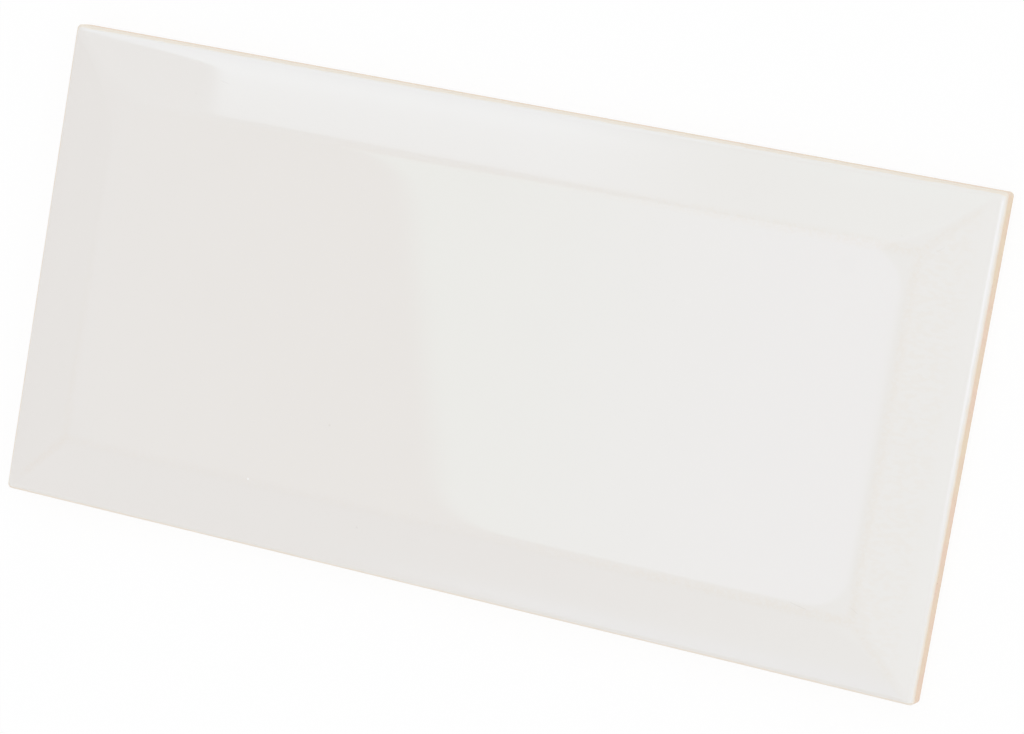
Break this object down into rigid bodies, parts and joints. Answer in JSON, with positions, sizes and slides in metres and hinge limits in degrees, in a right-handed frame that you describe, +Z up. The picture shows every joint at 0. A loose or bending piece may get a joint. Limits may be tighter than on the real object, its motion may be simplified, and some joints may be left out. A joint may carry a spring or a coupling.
{
  "type": "bevelled subway wall tile",
  "caption": "Rectangular ceramic wall tile with a flat glossy white field, bevels that meet in mitred corners, and bare buff sides and back.",
  "frame": {"origin": "middle of the back, in the plane that the tile lies on", "axes": "+X along the long side, +Y across the tile, +Z up out of the glazed face"},
  "size_m": [0.15, 0.0746, 0.0069],
  "materials": {
    "glazed_tile": "glossy white glaze on the face and its lip, bare matt buff biscuit on the sides and back"
  },
  "bodies": {
    "root": {"bevelled_wall_tile": "glazed_tile"}
  },
  "joints": []
}
